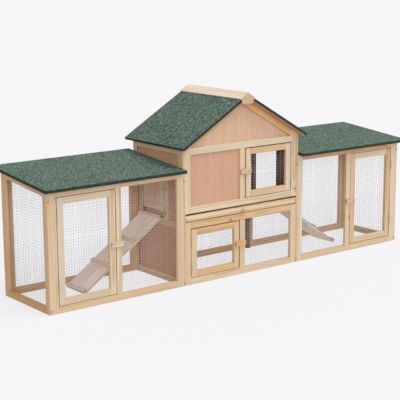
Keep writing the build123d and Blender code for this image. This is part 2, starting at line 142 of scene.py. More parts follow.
def makeStudio():
    half = studio["floorHalf"]
    corners = [(-half, -half, 0), (half, -half, 0), (half, half, 0), (-half, half, 0)]
    mesh = bpy.data.meshes.new("paperFloor")
    mesh.from_pydata(corners, [], [(0, 1, 2, 3)])
    floor = bpy.data.objects.new("paperFloor", mesh)
    bpy.context.scene.collection.objects.link(floor)
    material, tree, shader = startMaterial("paleStudioPaper")
    shader.inputs["Base Color"].default_value = toLinear(studio["floorShade"])
    shader.inputs["Roughness"].default_value = 1.0
    shader.inputs["Specular IOR Level"].default_value = 0.0
    shader.inputs["Emission Color"].default_value = toLinear(studio["sky"])
    seen = addNode(tree, "ShaderNodeLightPath", out="Is Camera Ray")
    bright = studio["floorGlow"]
    glow = addNode(tree, "ShaderNodeMapRange", None, {0: seen, 3: bright * studio["dimmed"], 4: bright})
    tree.links.new(glow, shader.inputs["Emission Strength"])
    mesh.materials.append(material)

    world = bpy.data.worlds.new("studioWorld")
    world.use_nodes = True
    sky = world.node_tree.nodes["Background"]
    sky.inputs["Color"].default_value = toLinear(studio["sky"])
    seen = addNode(world.node_tree, "ShaderNodeLightPath", out="Is Camera Ray")
    bright = studio["skyStrength"]
    glow = addNode(
        world.node_tree, "ShaderNodeMapRange", None, {0: seen, 3: bright * studio["dimmed"], 4: bright})
    world.node_tree.links.new(glow, sky.inputs["Strength"])
    bpy.context.scene.world = world

    for name, (place, power, width) in studio["lamps"].items():
        lamp = bpy.data.lights.new(name, "SUN")
        lamp.energy = power
        lamp.angle = math.radians(width)
        light = bpy.data.objects.new(name, lamp)
        light.rotation_euler = Vector(place).to_track_quat("Z", "Y").to_euler()
        bpy.context.scene.collection.objects.link(light)

    bpy.context.scene.view_settings.view_transform = "Standard"
    bpy.context.scene.view_settings.look = "None"


makeCamera()
makeStudio()
print("stage: camera and studio")


# ---- wood ----

pineLook = {
    "name": "planedPine",
    "cream": "#CDBFA6",
    "gold": "#C69559",
    "lateWood": "#A87642",
    "knot": "#6E4527",
    "endGrain": "#B08A5C",
    "ringSpacing": 0.006,       # real growth rings are 2 to 4 mm, too fine to show
    "ringWander": 5.0,
    "fibreWidth": 0.003,        # real fibres are far finer
    "streakWidth": 0.022,
    "knotCell": 0.085,
    "knotRadius": 0.0055,
    "knotShare": 0.93,          # the part of the cells that have no knot
    "ringBulge": 9.0,           # how far the rings bend round a knot
    "ringDraw": (0.12, 1, 1),   # each pattern is drawn out along the board by this
    "fibreDraw": (0.02, 1, 1),
    "streakDraw": (0.04, 1, 1),
    "lateAmount": 0.45,         # how strongly each shade covers the one below it
    "haloAmount": 0.35,
    "endAmount": 0.62,
    "roomShadeAmount": 0.85,
    "grooveDepth": 0.0004,
    "paintedShadeReach": 0.012,          # gaps and creases narrower than this are darkened as painted shade
    "paintedGapShade": "#5C3B20",
    "paintedRoomShade": "#5A3A2C",
}

# the same pine painted paler, as painted light where the top light falls on the ridge bar; the ramps' cleats
# take it too
litPineLook = {
    **pineLook, "name": "planedSapwood", "cream": "#E3D2BC", "gold": "#DDBE94", "endGrain": "#A0784A",
}


def makePine(look):
    # planed, unpainted pine: matt, cream to golden, with amber late-wood lines, streaks and pin knots
    material, tree, shader = startMaterial(look["name"])
    grain = addNode(tree, "ShaderNodeAttribute", {"attribute_name": "grain"}, out="Vector")
    tone = addNode(tree, "ShaderNodeAttribute", {"attribute_name": "tone"}, out="Fac")
    ends = addNode(tree, "ShaderNodeAttribute", {"attribute_name": "endGrain"}, out="Fac")
    roomShadeMask = addNode(tree, "ShaderNodeAttribute", {"attribute_name": "roomShadeFace"}, out="Fac")

    # knots stand square to the board's face, so they are laid out on the face alone
    split = addNode(tree, "ShaderNodeSeparateXYZ", None, {0: grain}, out=None)
    face = addNode(tree, "ShaderNodeCombineXYZ", None, {0: split.outputs[0], 1: split.outputs[1]})
    cells = addNode(
        tree, "ShaderNodeTexVoronoi", {"voronoi_dimensions": "2D"},
        {"Vector": face, "Scale": 1 / look["knotCell"]}, out=None,
    )
    away = cells.outputs["Distance"]
    pick = addNode(tree, "ShaderNodeSeparateColor", None, {0: cells.outputs["Color"]})
    chosen = addNode(tree, "ShaderNodeMath", {"operation": "GREATER_THAN"}, {0: pick, 1: look["knotShare"]})
    reach = look["knotRadius"] / look["knotCell"]
    smooth = {"interpolation_type": "SMOOTHSTEP"}
    core = addNode(tree, "ShaderNodeMapRange", smooth, {0: away, 1: reach * 0.55, 2: reach, 3: 1.0, 4: 0.0})
    halo = addNode(tree, "ShaderNodeMapRange", smooth, {0: away, 1: reach, 2: reach * 3.5, 3: 1.0, 4: 0.0})
    core = addNode(tree, "ShaderNodeMath", {"operation": "MULTIPLY"}, {0: core, 1: chosen})
    halo = addNode(tree, "ShaderNodeMath", {"operation": "MULTIPLY"}, {0: halo, 1: chosen})

    # growth rings round the tree's middle, which lies along the board; they bulge round a knot
    phase = addNode(tree, "ShaderNodeMath", {"operation": "MULTIPLY"}, {0: halo, 1: look["ringBulge"]})
    drawn = addNode(tree, "ShaderNodeVectorMath", {"operation": "MULTIPLY"}, {0: grain, 1: look["ringDraw"]})
    rings = addNode(
        tree, "ShaderNodeTexWave",
        {"wave_type": "RINGS", "rings_direction": "X", "wave_profile": "SAW"},
        {
            "Vector": drawn, "Scale": math.pi / 10 / look["ringSpacing"], "Distortion": look["ringWander"],
            "Detail": 2.0, "Detail Scale": 0.45, "Phase Offset": phase,
        }, out="Fac",
    )
    lateLine = addNode(tree, "ShaderNodeMapRange", smooth, {0: rings, 1: 0.45, 2: 0.95, 3: 0.0, 4: 1.0})
    drawn = addNode(tree, "ShaderNodeVectorMath", {"operation": "MULTIPLY"}, {0: grain, 1: look["fibreDraw"]})
    fibre = addNode(
        tree, "ShaderNodeTexNoise", None,
        {"Vector": drawn, "Scale": 1 / look["fibreWidth"], "Detail": 3.0, "Roughness": 0.6},
    )
    drawn = addNode(
        tree, "ShaderNodeVectorMath", {"operation": "MULTIPLY"}, {0: grain, 1: look["streakDraw"]})
    streak = addNode(
        tree, "ShaderNodeTexNoise", None,
        {"Vector": drawn, "Scale": 1 / look["streakWidth"], "Detail": 2.0, "Roughness": 0.5},
    )

    colour = {"data_type": "RGBA"}
    times = {"operation": "MULTIPLY"}
    wood = addNode(
        tree, "ShaderNodeMix", colour,
        {0: tone, 6: toLinear(look["cream"]), 7: toLinear(look["gold"])}, out=2,
    )
    amount = addNode(tree, "ShaderNodeMath", times, {0: lateLine, 1: look["lateAmount"]})
    wood = addNode(tree, "ShaderNodeMix", colour, {0: amount, 6: wood, 7: toLinear(look["lateWood"])}, out=2)
    amount = addNode(tree, "ShaderNodeMath", times, {0: halo, 1: look["haloAmount"]})
    wood = addNode(tree, "ShaderNodeMix", colour, {0: amount, 6: wood, 7: toLinear(look["lateWood"])}, out=2)
    amount = addNode(tree, "ShaderNodeMath", times, {0: ends, 1: look["endAmount"]})
    wood = addNode(tree, "ShaderNodeMix", colour, {0: amount, 6: wood, 7: toLinear(look["endGrain"])}, out=2)
    shade = addNode(tree, "ShaderNodeMapRange", None, {0: streak, 1: 0.3, 2: 0.7, 3: 0.9, 4: 1.07})
    thread = addNode(tree, "ShaderNodeMapRange", None, {0: fibre, 1: 0.3, 2: 0.7, 3: 0.95, 4: 1.04})
    shade = addNode(tree, "ShaderNodeMath", times, {0: shade, 1: thread})
    # narrow gaps and creases are darkened towards a dark brown: painted shade, from ambient occlusion
    paintedCreaseShade = addNode(
        tree, "ShaderNodeAmbientOcclusion", {"samples": 8}, {"Distance": look["paintedShadeReach"]}, out="AO")
    paintedCreaseShade = addNode(tree, "ShaderNodeMapRange", smooth, {0: paintedCreaseShade, 1: 0.1, 2: 0.5, 3: 0.85, 4: 0.0})
    wood = addNode(tree, "ShaderNodeVectorMath", {"operation": "SCALE"}, {0: wood, "Scale": shade})
    wood = addNode(tree, "ShaderNodeMix", colour, {0: core, 6: wood, 7: toLinear(look["knot"])}, out=2)
    wood = addNode(tree, "ShaderNodeMix", colour, {0: paintedCreaseShade, 6: wood, 7: toLinear(look["paintedGapShade"])}, out=2)
    # faces inside the upper room are darkened: painted shade of the closed room
    amount = addNode(tree, "ShaderNodeMath", times, {0: roomShadeMask, 1: look["roomShadeAmount"]})
    wood = addNode(
        tree, "ShaderNodeMix", colour, {0: amount, 6: wood, 7: toLinear(look["paintedRoomShade"])}, out=2)
    tree.links.new(wood, shader.inputs["Base Color"])
    rough = addNode(tree, "ShaderNodeMapRange", None, {0: fibre, 1: 0.3, 2: 0.7, 3: 0.56, 4: 0.7})
    tree.links.new(rough, shader.inputs["Roughness"])
    height = addNode(tree, "ShaderNodeMath", {"operation": "ADD"}, {0: fibre, 1: lateLine})
    bump = addNode(
        tree, "ShaderNodeBump", None,
        {"Strength": 0.25, "Distance": look["grooveDepth"], "Height": height},
    )
    tree.links.new(bump, shader.inputs["Normal"])
    return material


plyLooks = {
    "plywood": {
        "name": "rotaryCutPlywood",
        "pale": "#C9A68C", "deep": "#B98A6C", "figureShade": "#B8896A", "coreShade": "#8E6144",
        "paintedRoomShade": "#6B4232", "figure": 0.13, "lines": 6.0, "contrast": 0.28, "roughness": 0.62,
    },
    # the ramps' plywood is a paler raw sheet, and painted paler still as painted light where the runs' roofs
    # shade them
    "ramp": {
        "name": "sandedRampPlywood",
        "pale": "#F4E3D4", "deep": "#EAD4C1", "figureShade": "#CDB9A8", "coreShade": "#A08468",
        "paintedRoomShade": "#A08468", "figure": 0.05, "lines": 5.0, "contrast": 0.4, "roughness": 0.7,
    },
    "roof_ply": {
        "name": "roofPlywood",
        "pale": "#CC976F", "deep": "#C08257", "figureShade": "#B9805A", "coreShade": "#96603B",
        "paintedRoomShade": "#8A5B3C", "figure": 0.1, "lines": 7.0, "contrast": 0.4, "roughness": 0.7,
    },
    "tray_ply": {
        "name": "trayPlywood",
        "pale": "#CFAA85", "deep": "#C0966D", "figureShade": "#BB9069", "coreShade": "#94683F",
        "paintedRoomShade": "#8A5B3C", "figure": 0.1, "lines": 7.0, "contrast": 0.4, "roughness": 0.66,
    },
}


# what every plywood shares
plyGrain = {
    "figureDraw": (0.16, 1, 1),
    "streakDraw": (2, 26, 26),      # per metre along, across and through the sheet
    "poreDraw": (60, 420, 420),
    "poreAmount": 0.3,
    "roomShadeAmount": 0.85,
}


def makePly(look):
    # rotary-cut plywood: a broad wandering flame figure and short dark pores on the face,
    # glued layers on the edge
    material, tree, shader = startMaterial(look["name"])
    grain = addNode(tree, "ShaderNodeAttribute", {"attribute_name": "grain"}, out="Vector")
    tone = addNode(tree, "ShaderNodeAttribute", {"attribute_name": "tone"}, out="Fac")
    depth = addNode(tree, "ShaderNodeAttribute", {"attribute_name": "depth"}, out="Fac")
    roomShadeMask = addNode(tree, "ShaderNodeAttribute", {"attribute_name": "roomShadeFace"}, out="Fac")
    smooth = {"interpolation_type": "SMOOTHSTEP"}
    colour = {"data_type": "RGBA"}
    times = {"operation": "MULTIPLY"}

    # the figure is the level lines of a slow, drawn-out swell, as a peeled log shows its rings
    drawn = addNode(tree, "ShaderNodeVectorMath", times, {0: grain, 1: plyGrain["figureDraw"]})
    swell = addNode(
        tree, "ShaderNodeTexNoise", None,
        {"Vector": drawn, "Scale": 1 / look["figure"], "Detail": 2.0, "Roughness": 0.45},
    )
    levels = addNode(tree, "ShaderNodeMath", times, {0: swell, 1: 2 * math.pi * look["lines"]})
    flame = addNode(tree, "ShaderNodeMath", {"operation": "SINE"}, {0: levels})
    flame = addNode(tree, "ShaderNodeMapRange", smooth, {0: flame, 1: -1.0, 2: 1.0, 3: 0.0, 4: 1.0})
    drawn = addNode(tree, "ShaderNodeVectorMath", times, {0: grain, 1: plyGrain["streakDraw"]})
    streak = addNode(
        tree, "ShaderNodeTexNoise", None, {"Vector": drawn, "Scale": 1.0, "Detail": 4.0, "Roughness": 0.65})
    drawn = addNode(tree, "ShaderNodeVectorMath", times, {0: grain, 1: plyGrain["poreDraw"]})
    pores = addNode(tree, "ShaderNodeTexNoise", None, {"Vector": drawn, "Scale": 1.0, "Detail": 1.0})
    poreMark = addNode(tree, "ShaderNodeMapRange", smooth, {0: pores, 1: 0.6, 2: 0.72, 3: 0.0, 4: 1.0})
    layers = addNode(tree, "ShaderNodeMath", {"operation": "ABSOLUTE"}, {0: depth})
    core = addNode(tree, "ShaderNodeMapRange", smooth, {0: layers, 1: 0.14, 2: 0.2, 3: 1.0, 4: 0.0})

    wood = addNode(
        tree, "ShaderNodeMix", colour,
        {0: tone, 6: toLinear(look["pale"]), 7: toLinear(look["deep"])}, out=2,
    )
    amount = addNode(tree, "ShaderNodeMath", times, {0: flame, 1: look["contrast"]})
    wood = addNode(
        tree, "ShaderNodeMix", colour, {0: amount, 6: wood, 7: toLinear(look["figureShade"])}, out=2)
    amount = addNode(tree, "ShaderNodeMath", times, {0: poreMark, 1: plyGrain["poreAmount"]})
    wood = addNode(tree, "ShaderNodeMix", colour, {0: amount, 6: wood, 7: toLinear(look["coreShade"])}, out=2)
    # faces inside the upper room are darkened: painted shade of the closed room
    amount = addNode(tree, "ShaderNodeMath", times, {0: roomShadeMask, 1: plyGrain["roomShadeAmount"]})
    wood = addNode(
        tree, "ShaderNodeMix", colour, {0: amount, 6: wood, 7: toLinear(look["paintedRoomShade"])}, out=2)
    shade = addNode(tree, "ShaderNodeMapRange", None, {0: streak, 1: 0.3, 2: 0.7, 3: 0.94, 4: 1.05})
    wood = addNode(tree, "ShaderNodeVectorMath", {"operation": "SCALE"}, {0: wood, "Scale": shade})
    wood = addNode(tree, "ShaderNodeMix", colour, {0: core, 6: wood, 7: toLinear(look["coreShade"])}, out=2)
    tree.links.new(wood, shader.inputs["Base Color"])
    shader.inputs["Roughness"].default_value = look["roughness"]
    height = addNode(tree, "ShaderNodeMath", {"operation": "SUBTRACT"}, {0: streak, 1: poreMark})
    bump = addNode(
        tree, "ShaderNodeBump", None,
        {"Strength": 0.2, "Distance": pineLook["grooveDepth"], "Height": height},
    )
    tree.links.new(bump, shader.inputs["Normal"])
    return material


timber = {
    "seed": 41,
    "primes": (7919, 104729, 1299709),    # they part the seeds of boards that lie near each other
    "nudge": 0.13,          # millimetres, so that no middle lies halfway when it is rounded
    "endRoom": 40,          # metres along the tree that a board may be cut from
    "railTone": 0.55,
    "stileTone": 0.25,
    "toneSpread": 0.12,
    "pithNear": 0.02,       # how far the middle of the tree lies from a board's own middle
    "pithFar": 0.075,
    "softAngle": 28.0,      # degrees, past which an edge is drawn sharp
    "endAngle": 0.8,        # a face that looks this much along the board is end grain
    "stileRise": 0.7,       # a board that stands up more than this is a stile
    "levelFace": 0.5,       # a face that looks up or down more than this gets no painted room shade
    "flatAngle": 0.4,       # degrees, under which two triangles are one flat face
    # cream to golden of the rails, then of the stiles, where a frame differs from the rest
    # besides real board-to-board tone, some are painted light and shade: the back frames, the wall frames and
    # the left end frame deeper golden as painted shade, the runs' front frame rails paler as painted light
    # under the eaves
    "tones": {
        "left_run_door_frame": (0.15, 0.12),
        "right_run_door_frame": (0.4, 0.5),
        "upper_door_frame": (0.5, 0.15),
        "lower_door_frame": (0.55, 0.45),
        "upper_front_frame": (0.1, 0.3),
        "tray_front": (0.15, 0.2),
        "left_end_frame": (0.7, 0.6),
        "right_run_front_frame": (0.5, 0.1),
        "left_run_front_frame": (0.45, 0.15),
        "ridge_bar": (0.1, 0.2),
        "left_run_back_frame": (0.9, 0.95),
        "right_run_back_frame": (0.85, 0.9),
        "back_frame": (0.85, 0.9),
        "left_wall_frame": (0.5, 0.6),
        "right_wall_frame": (0.7, 0.75),
        "hatch_frame": (0.15, 0.2),
        "rake_battens": (0.75, 0.75),
        "ramp_cleats": (0.0, 0.0),
        "left_ramp_board": (0.2, 0.2),
        "right_ramp_board": (0.35, 0.35),
        "front_gable_panel": (0.15, 0.15),
        "left_wall_panels": (0.95, 0.95),
        "upper_front_panel": (0.6, 0.6),
    },
    # inside the upper room these take the same painted shade of the closed room as the plywood panels
    "roomShaded": ("left_wall_frame", "right_wall_frame", "back_frame"),
    # boards that differ from the rest of their slot
    "special": {
        "ridge_bar": "sapwood", "ramp_cleats": "sapwood",
        "left_ramp_board": "ramp", "right_ramp_board": "ramp",
    },
    # panels whose face grain stands up
    "upright": (
        "upper_front_panel", "front_gable_panel", "back_panels", "left_wall_panels", "right_wall_panels",
    ),
}


def readSolids(node):
    # a CAD node as its separate closed solids, each a list of points and a list of faces;
    # boards that touch can share a corner, so a solid ends where its faces have closed
    work = bmesh.new()
    work.from_mesh(cadNodes[node].data)
    twins = bmesh.ops.find_doubles(work, verts=work.verts, dist=weldGap)["targetmap"]
    solids = []
    openEdges = set()
    numbers = {}
    points = []
    faces = []
    for face in work.faces:
        loop = []
        for vertex in face.verts:
            vertex = twins.get(vertex, vertex)
            if vertex not in numbers:
                numbers[vertex] = len(points)
                points.append(vertex.co.copy())
            loop.append(numbers[vertex])
        if len(set(loop)) < 3:
            continue
        faces.append(loop)
        for a, b in zip(loop, loop[1:] + loop[:1]):
            if (b, a) in openEdges:
                openEdges.remove((b, a))
            else:
                openEdges.add((a, b))
        if not openEdges:
            solids.append((points, faces))
            numbers, points, faces = {}, [], []
    work.free()
    if openEdges:
        raise ValueError("open solid in " + node)
    return solids


def solidMesh(points, faces):
    # the flat faces whole again, without the triangles' diagonals
    work = bmesh.new()
    made = [work.verts.new(p) for p in points]
    for loop in faces:
        work.faces.new([made[i] for i in loop])
    work.normal_update()
    flat = math.radians(timber["flatAngle"])
    bmesh.ops.dissolve_limit(work, angle_limit=flat, verts=work.verts, edges=work.edges)
    work.normal_update()
    return work


def boardAxes(work, upright):
    # along the grain, across the face, and through the thickness
    widest = max(work.faces, key=lambda f: round(f.calc_area(), 7))
    through = widest.normal.normalized()
    if upright:
        along = Vector((0, 0, 1))
    else:
        longest = max(work.edges, key=lambda e: round(e.calc_length(), 5))
        along = (longest.verts[1].co - longest.verts[0].co).normalized()
    if abs(along.dot(through)) > 0.5:
        through = along.orthogonal()
    through = (through - along * through.dot(along)).normalized()
    for axis in (along, through):    # the same way round whichever face came first
        lead = max(range(3), key=lambda i: round(abs(axis[i]), 4))
        if axis[lead] < 0:
            axis.negate()
    return along, through.cross(along), through


def boardDice(middle):
    # every board has its own fixed seed, from where its middle is
    place = (round(c * 1000 + timber["nudge"]) for c in middle)
    return random.Random(sum(c * prime for c, prime in zip(place, timber["primes"])) + timber["seed"])


houseLow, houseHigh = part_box("back_panels")
houseMiddle = Vector([(low + high) / 2 for low, high in zip(houseLow, houseHigh)])
houseMiddle.y = 0
houseRise = houseMiddle.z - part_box("tray_box")[0].z    # from the tray up to the middle of the upper room


def makeTimber(node, material):
    points = []
    faces = []
    grains = []
    tones = []
    depths = []
    ends = []
    roomShadeFlags = []
    upright = node in timber["upright"]
    roomShaded = node in timber["upright"] + timber["roomShaded"]
    for solidPoints, solidFaces in readSolids(node):
        work = solidMesh(solidPoints, solidFaces)
        along, across, through = boardAxes(work, upright)
        low = Vector([min(p[i] for p in solidPoints) for i in range(3)])
        high = Vector([max(p[i] for p in solidPoints) for i in range(3)])
        middle = (low + high) / 2
        dice = boardDice(middle)
        turn = dice.uniform(0, 2 * math.pi)
        away = dice.uniform(timber["pithNear"], timber["pithFar"])
        shift = Vector((dice.uniform(0, timber["endRoom"]), away * math.cos(turn), away * math.sin(turn)))
        railTone, stileTone = timber["tones"].get(node, (timber["railTone"], timber["stileTone"]))
        tone = stileTone if abs(along.z) > timber["stileRise"] else railTone
        tone = min(1, max(0, tone + dice.gauss(0, timber["toneSpread"])))
        thick = max(abs((p - middle).dot(through)) for p in solidPoints) * 2
        start = len(points)
        work.verts.index_update()
        for vertex in work.verts:
            offset = vertex.co - middle
            local = Vector((offset.dot(along), offset.dot(across), offset.dot(through)))
            points.append(vertex.co.copy())
            grains.extend(local + shift)
            tones.append(tone)
            depths.append(local.z / thick)
        for face in work.faces:
            faces.append([start + v.index for v in face.verts])
            ends.append(1.0 if abs(face.normal.dot(along)) > timber["endAngle"] else 0.0)
            # a standing face inside the upper room, looking into it, is marked for the painted shade of the
            # closed room
            inwards = houseMiddle - face.calc_center_median()
            standing = abs(face.normal.z) < timber["levelFace"]
            upstairs = inwards.z < houseRise
            inside = roomShaded and standing and upstairs and face.normal.dot(inwards) > 0
            roomShadeFlags.append(1.0 if inside else 0.0)
        work.free()
    piece = makePiece(node + ".wood", points, faces, material)
    for name, kind, domain, key, values in (
        ("grain", "FLOAT_VECTOR", "POINT", "vector", grains),
        ("tone", "FLOAT", "POINT", "value", tones),
        ("depth", "FLOAT", "POINT", "value", depths),
        ("endGrain", "FLOAT", "FACE", "value", ends),
        ("roomShadeFace", "FLOAT", "FACE", "value", roomShadeFlags),
    ):
        piece.data.attributes.new(name, kind, domain).data.foreach_set(key, values)
    settle(piece, node)


def makePiece(name, points, faces, material):
    mesh = bpy.data.meshes.new(name)
    mesh.from_pydata(points, [], faces)
    mesh.validate()
    mesh.polygons.foreach_set("use_smooth", [True] * len(mesh.polygons))
    mesh.set_sharp_from_angle(angle=math.radians(timber["softAngle"]))
    mesh.materials.append(material)
    piece = bpy.data.objects.new(name, mesh)
    bpy.context.scene.collection.objects.link(piece)
    return piece


def settle(piece, node):
    # the piece rides and stands for one CAD node
    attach(piece, cadNodes[node]["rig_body"])
    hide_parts(node)


slotOf = {name: item.material_slots[0].material.name.split(".")[0] for name, item in cadNodes.items()}
woods = {"pine": makePine(pineLook), "sapwood": makePine(litPineLook)}
for name, look in plyLooks.items():
    woods[name] = makePly(look)
for node in sorted(cadNodes):
    if slotOf[node] in woods:
        makeTimber(node, woods[timber["special"].get(node, slotOf[node])])
print("stage: timber")


# ---- roofing felt ----

feltLook = {
    "grit": 0.0032,         # real mineral grit is 1 to 2 mm, too fine to show
    "clump": 0.009,
    "dark": "#1A2820",
    "middle": "#42574A",
    "light": "#83978A",
    "edge": "#16281F",
    "cloud": 0.12,
    "gritDepth": 0.0012,
    "paintedShadeReach": 0.012,      # a seam narrower than this is darkened as painted shade
    "roughness": 0.92,
    "gloss": 0.3,
}


def makeFelt():
    # green mineral roofing felt: bitumen sheet with slate grit on its face,
    # darker on the faces that do not look up, where it is folded down, and painted shade in narrow seams
    look = feltLook
    material, tree, shader = startMaterial("mineralRoofingFelt")
    place = addNode(tree, "ShaderNodeTexCoord", out="Object")
    grit = addNode(
        tree, "ShaderNodeTexVoronoi", None, {"Vector": place, "Scale": 1 / look["grit"]}, out=None)
    clump = addNode(
        tree, "ShaderNodeTexNoise", None,
        {"Vector": place, "Scale": 1 / look["clump"], "Detail": 3.0, "Roughness": 0.65},
    )
    cloud = addNode(
        tree, "ShaderNodeTexNoise", None, {"Vector": place, "Scale": 1 / look["cloud"], "Detail": 2.0})
    colour = {"data_type": "RGBA"}
    speck = addNode(tree, "ShaderNodeSeparateColor", None, {0: grit.outputs["Color"]})
    clumped = addNode(tree, "ShaderNodeMapRange", None, {0: clump, 1: 0.3, 2: 0.7, 3: -0.3, 4: 0.3})
    level = addNode(tree, "ShaderNodeMath", {"operation": "ADD"}, {0: speck, 1: clumped})
    low = addNode(tree, "ShaderNodeMapRange", None, {0: level, 1: 0.0, 2: 0.5, 3: 0.0, 4: 1.0})
    high = addNode(tree, "ShaderNodeMapRange", None, {0: level, 1: 0.5, 2: 1.1, 3: 0.0, 4: 1.0})
    slate = addNode(
        tree, "ShaderNodeMix", colour,
        {0: low, 6: toLinear(look["dark"]), 7: toLinear(look["middle"])}, out=2,
    )
    slate = addNode(tree, "ShaderNodeMix", colour, {0: high, 6: slate, 7: toLinear(look["light"])}, out=2)
    shade = addNode(tree, "ShaderNodeMapRange", None, {0: cloud, 1: 0.3, 2: 0.7, 3: 0.93, 4: 1.06})
    slate = addNode(tree, "ShaderNodeVectorMath", {"operation": "SCALE"}, {0: slate, "Scale": shade})
    # faces that look sideways or down are darkened towards the edge colour
    facing = addNode(tree, "ShaderNodeNewGeometry", out="Normal")
    rise = addNode(tree, "ShaderNodeSeparateXYZ", None, {0: facing}, out="Z")
    folded = addNode(
        tree, "ShaderNodeMapRange", {"interpolation_type": "SMOOTHSTEP"},
        {0: rise, 1: 0.6, 2: 0.82, 3: 0.85, 4: 0.0},
    )
    # narrow seams, such as under the ridge bar, are darkened towards the edge colour: painted shade, from
    # ambient occlusion
    paintedCreaseShade = addNode(
        tree, "ShaderNodeAmbientOcclusion", {"samples": 8}, {"Distance": look["paintedShadeReach"]}, out="AO")
    paintedCreaseShade = addNode(tree, "ShaderNodeMapRange", None, {0: paintedCreaseShade, 1: 0.3, 2: 0.8, 3: 0.9, 4: 0.0})
    dark = addNode(tree, "ShaderNodeMath", {"operation": "MAXIMUM"}, {0: folded, 1: paintedCreaseShade})
    felt = addNode(tree, "ShaderNodeMix", colour, {0: dark, 6: slate, 7: toLinear(look["edge"])}, out=2)
    tree.links.new(felt, shader.inputs["Base Color"])
    shader.inputs["Roughness"].default_value = look["roughness"]
    shader.inputs["Specular IOR Level"].default_value = look["gloss"]
    height = addNode(
        tree, "ShaderNodeMath", {"operation": "MULTIPLY_ADD"},
        {0: grit.outputs["Distance"], 1: -1.0, 2: clump},
    )
    bump = addNode(
        tree, "ShaderNodeBump", None, {"Strength": 0.6, "Distance": look["gritDepth"], "Height": height})
    tree.links.new(bump, shader.inputs["Normal"])
    return material


felt = makeFelt()
for node in sorted(cadNodes):
    if slotOf[node] == "roof_felt":
        cadNodes[node].material_slots[0].material = felt
print("stage: roofing felt")


# ---- welded wire mesh ----

wireMesh = {
    "pitch": 0.0127,        # half-inch squares
    "wire": 0.0008,
    "sides": 6,
    "bead": 0.0016,
    "sink": 0.42,           # how far a wire's middle lies from the sheet's, in its own thicknesses
    "shade": "#D2D4D6",
    "bloom": 0.016,
    "metallic": 0.85,
    "roughness": 0.45,
}


def makeWireMaterial():
    # galvanised welded wire: pale dull zinc with a faint uneven bloom
    material, tree, shader = startMaterial("galvanisedWire")
    place = addNode(tree, "ShaderNodeTexCoord", out="Object")
    bloom = addNode(
        tree, "ShaderNodeTexNoise", None, {"Vector": place, "Scale": 1 / wireMesh["bloom"], "Detail": 2.0})
    shade = addNode(tree, "ShaderNodeMapRange", None, {0: bloom, 1: 0.3, 2: 0.7, 3: 0.85, 4: 1.12})
    zinc = addNode(
        tree, "ShaderNodeVectorMath", {"operation": "SCALE"},
        {0: toLinear(wireMesh["shade"])[:3], "Scale": shade},
    )
    tree.links.new(zinc, shader.inputs["Base Color"])
    shader.inputs["Metallic"].default_value = wireMesh["metallic"]
    shader.inputs["Roughness"].default_value = wireMesh["roughness"]
    return material


